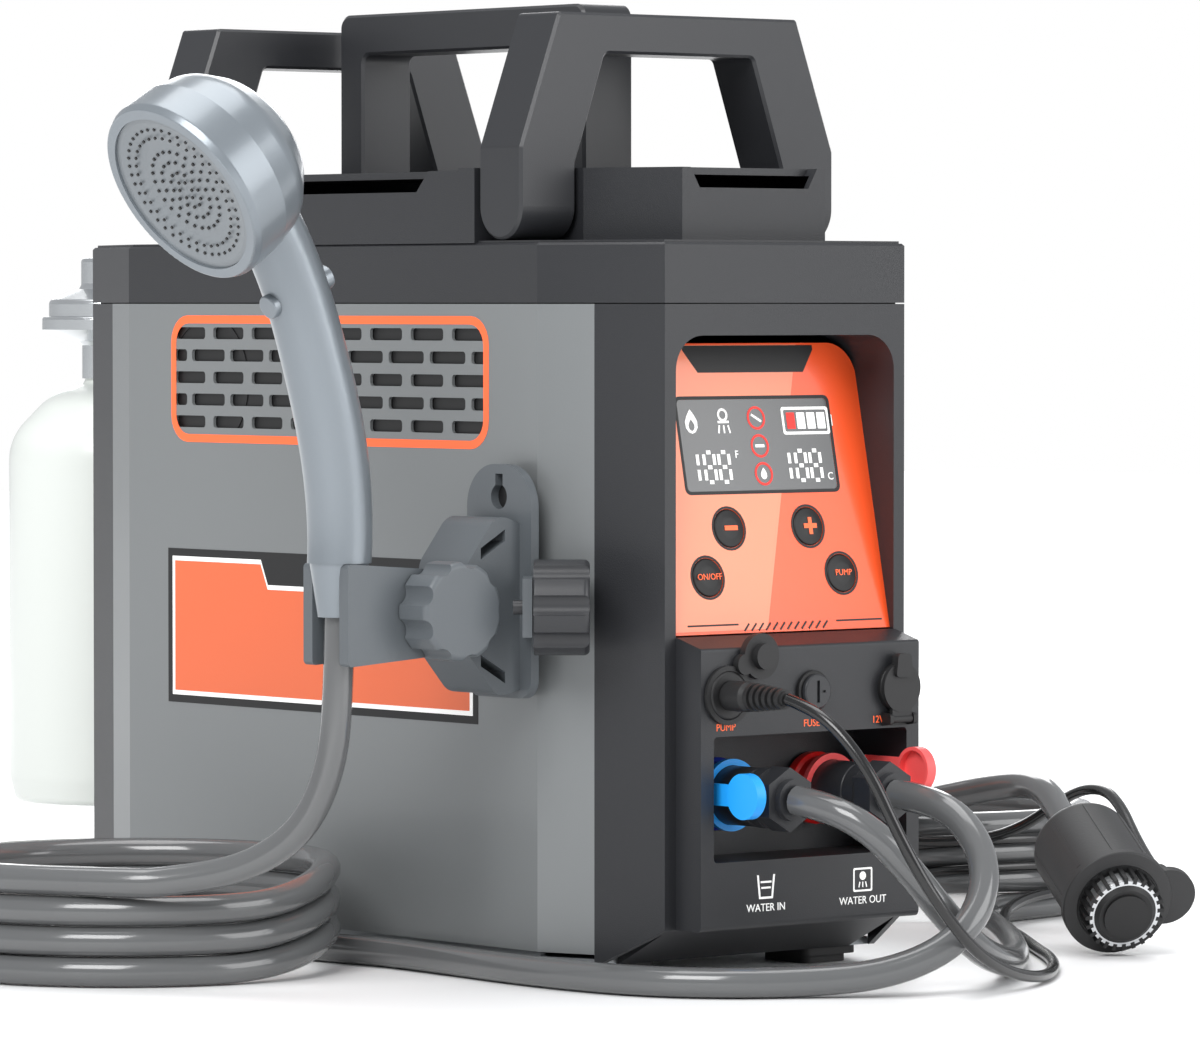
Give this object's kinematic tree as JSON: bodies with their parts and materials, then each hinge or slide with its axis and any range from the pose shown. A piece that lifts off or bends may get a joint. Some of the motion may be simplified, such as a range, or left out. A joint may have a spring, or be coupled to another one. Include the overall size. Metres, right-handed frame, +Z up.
{
  "type": "portable water heater",
  "caption": "Portable gas water heater with folding handles, vented grey side panels, sloped orange control panel, hand shower, pump, hoses and gas bottle.",
  "frame": {"origin": "floor point under the centre of the heater", "axes": "+Z up, -Y out of the control panel, -X out of the shower holder side"},
  "size_m": [0.6415, 0.6384, 0.4102],
  "materials": {
    "side_metal": "semi-gloss painted sheet",
    "black_plastic": "fine textured moulded plastic",
    "panel_orange": "glossy printed panel",
    "display_dark": "glossy display window",
    "button_orange": "glossy domed button",
    "black_rubber": "matte rubber",
    "blue_plastic": "glossy collar",
    "blue_rubber": "soft cap",
    "red_plastic": "glossy collar",
    "red_rubber": "soft cap",
    "hose_grey": "smooth hose",
    "shower_silver": "satin silver plastic",
    "holder_grey": "dark grey moulding",
    "bottle_paint": "semi-gloss paint",
    "bright_metal": "turned metal",
    "brass": "machined brass",
    "copper_fins": "copper sheet",
    "steel_sheet": "sheet steel",
    "board_green": "coated board",
    "pump_black": "matte moulding",
    "cable_black": "glossy cable sheath"
  },
  "bodies": {
    "housing": {"base_tray": "steel_sheet", "rubber_feet": "black_rubber", "side_panel_left": "side_metal", "side_panel_right": "side_metal", "front_cover": "black_plastic", "rear_cover": "black_plastic", "lid": "black_plastic", "handle_carrier": "black_plastic", "handle_pins": "bright_metal", "panel_plate": "panel_orange", "display_window": "display_dark", "control_board": "board_green", "panel_sockets": "black_plastic", "fuse_holder": "black_plastic", "water_fittings": "black_plastic", "water_in_collar": "blue_plastic", "water_out_collar": "red_plastic", "hose_nuts": "black_plastic", "combustion_chamber": "steel_sheet", "burner": "steel_sheet", "heat_exchanger": "copper_fins", "gas_valve": "brass", "exhaust_fan": "black_plastic", "battery_pack": "blue_plastic", "gas_bottle": "bottle_paint", "regulator": "bright_metal", "gas_inlet_pipe": "bright_metal", "holder_pad": "black_plastic", "holder_bracket": "holder_grey", "pump_body": "pump_black", "pump_strainer": "pump_black", "pump_plug": "black_rubber", "shower_hose_run": "hose_grey", "shower_hose_riser": "hose_grey", "shower_hose_coil": "hose_grey", "pump_hose_run": "hose_grey", "pump_hose_tail": "hose_grey", "pump_hose_coil": "hose_grey", "pump_cable_run": "cable_black", "pump_cable_tail": "cable_black", "pump_cable_coil": "cable_black"},
    "front_handle": {"front_handle": "black_plastic"},
    "rear_handle": {"rear_handle": "black_plastic"},
    "top_handle": {"top_handle": "black_plastic"},
    "button_minus": {"button_minus": "button_orange"},
    "button_plus": {"button_plus": "button_orange"},
    "button_power": {"button_power": "button_orange"},
    "button_pump": {"button_pump": "button_orange"},
    "fuse_cap": {"fuse_cap": "black_plastic"},
    "dc_cap": {"dc_cap": "black_rubber"},
    "pump_socket_cap": {"pump_socket_cap": "black_rubber"},
    "water_in_cap": {"water_in_cap": "blue_rubber"},
    "water_out_cap": {"water_out_cap": "red_rubber"},
    "shower_arm": {"holder_arm": "holder_grey", "shower_body": "shower_silver", "shower_face": "shower_silver"},
    "clamp_knob": {"clamp_knob": "holder_grey"},
    "lock_knob": {"lock_knob": "black_plastic"},
    "mode_button": {"mode_button": "black_plastic"},
    "stop_button": {"stop_button": "black_plastic"}
  },
  "joints": [
    {"name": "front_handle_fold", "type": "hinge", "parent": "housing", "child": "front_handle", "pos_m": [0, -0.1177, 0.3222], "axis": [1, 0, 0], "range_deg": [0, 90]},
    {"name": "rear_handle_fold", "type": "hinge", "parent": "housing", "child": "rear_handle", "pos_m": [0, 0.1177, 0.3222], "axis": [-1, 0, 0], "range_deg": [0, 90]},
    {"name": "top_handle_fold", "type": "hinge", "parent": "housing", "child": "top_handle", "pos_m": [0, 0, 0.3222], "axis": [0, 1, 0], "range_deg": [0, 90]},
    {"name": "button_minus_press", "type": "slide", "parent": "housing", "child": "button_minus", "axis": [0, 0.9799, -0.1994], "range_m": [0, 0.001], "stiffness_N_per_m": 600},
    {"name": "button_plus_press", "type": "slide", "parent": "housing", "child": "button_plus", "axis": [0, 0.9799, -0.1994], "range_m": [0, 0.001], "stiffness_N_per_m": 600},
    {"name": "button_power_press", "type": "slide", "parent": "housing", "child": "button_power", "axis": [0, 0.9799, -0.1994], "range_m": [0, 0.001], "stiffness_N_per_m": 600},
    {"name": "button_pump_press", "type": "slide", "parent": "housing", "child": "button_pump", "axis": [0, 0.9799, -0.1994], "range_m": [0, 0.001], "stiffness_N_per_m": 600},
    {"name": "fuse_cap_turn", "type": "hinge", "parent": "housing", "child": "fuse_cap", "pos_m": [0, -0.215, 0.1205], "axis": [0, -1, 0], "range_deg": [0, 90]},
    {"name": "dc_cap_swing", "type": "hinge", "parent": "housing", "child": "dc_cap", "pos_m": [0.0473, -0.2186, 0.1073], "axis": [1, 0, 0], "range_deg": [0, 110]},
    {"name": "pump_socket_cap_turn", "type": "hinge", "parent": "housing", "child": "pump_socket_cap", "pos_m": [-0.0473, -0.215, 0.1205], "axis": [0, -1, 0], "range_deg": [-40, 60]},
    {"name": "water_in_cap_turn", "type": "hinge", "parent": "housing", "child": "water_in_cap", "pos_m": [-0.028, -0.182, 0.0775], "axis": [0, -1, 0], "range_deg": [-90, 90]},
    {"name": "water_out_cap_turn", "type": "hinge", "parent": "housing", "child": "water_out_cap", "pos_m": [0.028, -0.182, 0.0775], "axis": [0, -1, 0], "range_deg": [-90, 90]},
    {"name": "shower_arm_tilt", "type": "hinge", "parent": "housing", "child": "shower_arm", "pos_m": [-0.1445, -0.131, 0.156], "axis": [0, 1, 0], "range_deg": [-15, 15], "deforming": ["shower_hose_riser"]},
    {"name": "clamp_knob_turn", "type": "hinge", "parent": "shower_arm", "child": "clamp_knob", "pos_m": [-0.1445, -0.1461, 0.156], "axis": [0, -1, 0], "continuous": true},
    {"name": "lock_knob_turn", "type": "hinge", "parent": "housing", "child": "lock_knob", "pos_m": [-0.11157, -0.16777, 0.157], "axis": [0.7627, -0.6468, 0], "continuous": true},
    {"name": "mode_button_press", "type": "slide", "parent": "shower_arm", "child": "mode_button", "axis": [-0.838, 0, -0.5457], "range_m": [0, 0.001], "stiffness_N_per_m": 600},
    {"name": "stop_button_push", "type": "slide", "parent": "shower_arm", "child": "stop_button", "axis": [0.9208, 0, 0.3899], "range_m": [-0.0025, 0.0025]}
  ]
}
